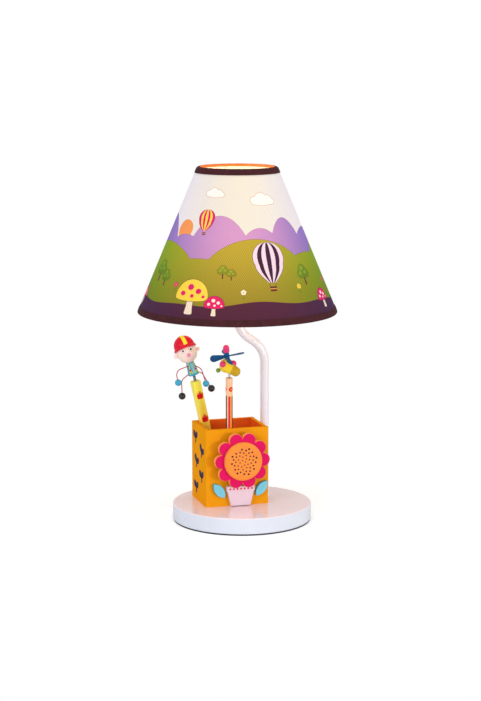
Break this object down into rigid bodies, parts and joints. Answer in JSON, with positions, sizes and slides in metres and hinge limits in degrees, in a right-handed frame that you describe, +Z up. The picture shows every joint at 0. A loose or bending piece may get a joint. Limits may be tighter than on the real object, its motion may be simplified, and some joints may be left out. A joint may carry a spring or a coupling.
{
  "type": "desk lamp with pen holder",
  "caption": "Desk lamp with a printed cone shade on a cranked pole, an open pen box with a flower relief on a round foot, and pens with springy toppers.",
  "frame": {"origin": "centre of the foot's underside, on the table", "axes": "+Z up, -Y towards the front of the pen box, +X to the right of someone who faces that front"},
  "size_m": [0.2522, 0.2522, 0.442],
  "materials": {
    "pink_lacquered_wood": "gloss lacquer, pale pink on top and bluish white on the rim",
    "dark_rubber": "matt",
    "white_enamel": "gloss enamel",
    "zinc_steel": "satin zinc plate",
    "orange_lacquered_wood": "satin lacquer",
    "magenta_lacquered_wood": "gloss lacquer",
    "tangerine_lacquered_wood": "gloss lacquer",
    "rose_lacquered_wood": "gloss lacquer",
    "turquoise_lacquered_wood": "gloss lacquer",
    "bare_beech": "sanded",
    "white_plastic": "gloss",
    "white_porcelain": "unglazed",
    "brass": "satin",
    "black_plastic": "gloss",
    "printed_cotton": "woven print on stiff backing",
    "brown_binding": "woven tape",
    "white_wire": "epoxy coat",
    "nickel_cap": "satin",
    "opal_glass": "frosted",
    "yellow_lacquered_wood": "gloss lacquer",
    "pen_steel": "bright",
    "spring_steel": "bright wire",
    "blue_lacquered_wood": "gloss lacquer",
    "skin_lacquered_wood": "satin lacquer",
    "red_lacquered_wood": "gloss lacquer",
    "red_coated_wire": "gloss coat on wire",
    "black_lacquered_wood": "gloss lacquer",
    "striped_pencil_wood": "gloss lacquer",
    "graphite": "satin",
    "green_lacquered_wood": "gloss lacquer",
    "sea_lacquered_wood": "gloss lacquer"
  },
  "bodies": {
    "stand": {"foot_disc": "pink_lacquered_wood", "foot_pad": "dark_rubber", "cord_grommet": "dark_rubber", "pole": "white_enamel", "pole_collar": "white_enamel", "pole_washer": "zinc_steel", "pole_nut": "zinc_steel", "box_screws": "zinc_steel", "box_floor": "orange_lacquered_wood", "box_front": "orange_lacquered_wood", "box_back": "orange_lacquered_wood", "box_left": "orange_lacquered_wood", "box_right": "orange_lacquered_wood", "flower_dowel": "bare_beech", "flower_petals": "magenta_lacquered_wood", "flower_centre": "tangerine_lacquered_wood", "flower_pot": "rose_lacquered_wood", "leaf_left": "turquoise_lacquered_wood", "leaf_right": "turquoise_lacquered_wood", "holder_cap": "white_plastic", "holder_shell": "white_plastic", "holder_core": "white_porcelain", "screw_shell": "brass", "centre_contact": "brass", "ring_nut": "white_plastic"},
    "shade": {"shade_skin": "printed_cotton", "shade_top_trim": "brown_binding", "shade_bottom_trim": "brown_binding", "shade_frame": "white_wire", "shade_bottom_ring": "white_wire"},
    "switch": {"switch_shaft": "black_plastic", "switch_knob": "black_plastic"},
    "bulb": {"bulb_contact": "nickel_cap", "bulb_cap": "nickel_cap", "bulb_glass": "opal_glass"},
    "doll_pen": {"doll_pen_barrel": "yellow_lacquered_wood", "doll_pen_point": "pen_steel", "doll_neck_spring": "spring_steel"},
    "doll": {"doll_torso": "blue_lacquered_wood", "doll_head": "skin_lacquered_wood", "doll_ears": "skin_lacquered_wood", "doll_helmet": "red_lacquered_wood", "doll_helmet_stripe": "yellow_lacquered_wood", "doll_arms": "red_coated_wire", "doll_hands": "blue_lacquered_wood", "doll_legs": "red_coated_wire", "doll_feet": "black_lacquered_wood"},
    "pencil": {"pencil_barrel": "striped_pencil_wood", "pencil_lead": "graphite", "helicopter_neck_spring": "spring_steel"},
    "helicopter": {"helicopter_hull": "yellow_lacquered_wood", "helicopter_buttons": "magenta_lacquered_wood", "helicopter_tail_peg": "bare_beech", "helicopter_tail_ball": "green_lacquered_wood", "rotor_pin": "zinc_steel"},
    "rotor": {"rotor_blades": "sea_lacquered_wood", "rotor_cap": "magenta_lacquered_wood"}
  },
  "joints": [
    {"name": "shade_turn", "type": "hinge", "parent": "stand", "child": "shade", "pos_m": [0.0015, 0.0245, 0.3331], "axis": [0, 0, 1], "continuous": true},
    {"name": "switch_turn", "type": "hinge", "parent": "stand", "child": "switch", "pos_m": [0.0015, 0.0245, 0.306], "axis": [1, 0, 0], "continuous": true},
    {"name": "bulb_lift", "type": "slide", "parent": "stand", "child": "bulb", "axis": [0, 0, 1], "range_m": [0, 0.035]},
    {"name": "doll_pen_lift", "type": "slide", "parent": "stand", "child": "doll_pen", "axis": [-0.2147, 0, 0.9767], "range_m": [0, 0.06]},
    {"name": "doll_nod", "type": "hinge", "parent": "doll_pen", "child": "doll", "pos_m": [-0.05314, 0.03, 0.17765], "axis": [0.9767, 0, 0.2147], "range_deg": [-15, 15], "stiffness_Nm_per_rad": 0.03, "deforming": ["doll_neck_spring"]},
    {"name": "pencil_lift", "type": "slide", "parent": "stand", "child": "pencil", "axis": [-0.0407, -0.1331, 0.9903], "range_m": [0, 0.06]},
    {"name": "helicopter_nod", "type": "hinge", "parent": "pencil", "child": "helicopter", "pos_m": [-0.02184, -0.01729, 0.18812], "axis": [0.9563, -0.2924, 0], "range_deg": [-12, 12], "stiffness_Nm_per_rad": 0.03, "deforming": ["helicopter_neck_spring"]},
    {"name": "rotor_spin", "type": "hinge", "parent": "helicopter", "child": "rotor", "pos_m": [-0.02579, -0.02207, 0.21245], "axis": [-0.1967, -0.2621, 0.9448], "continuous": true}
  ]
}
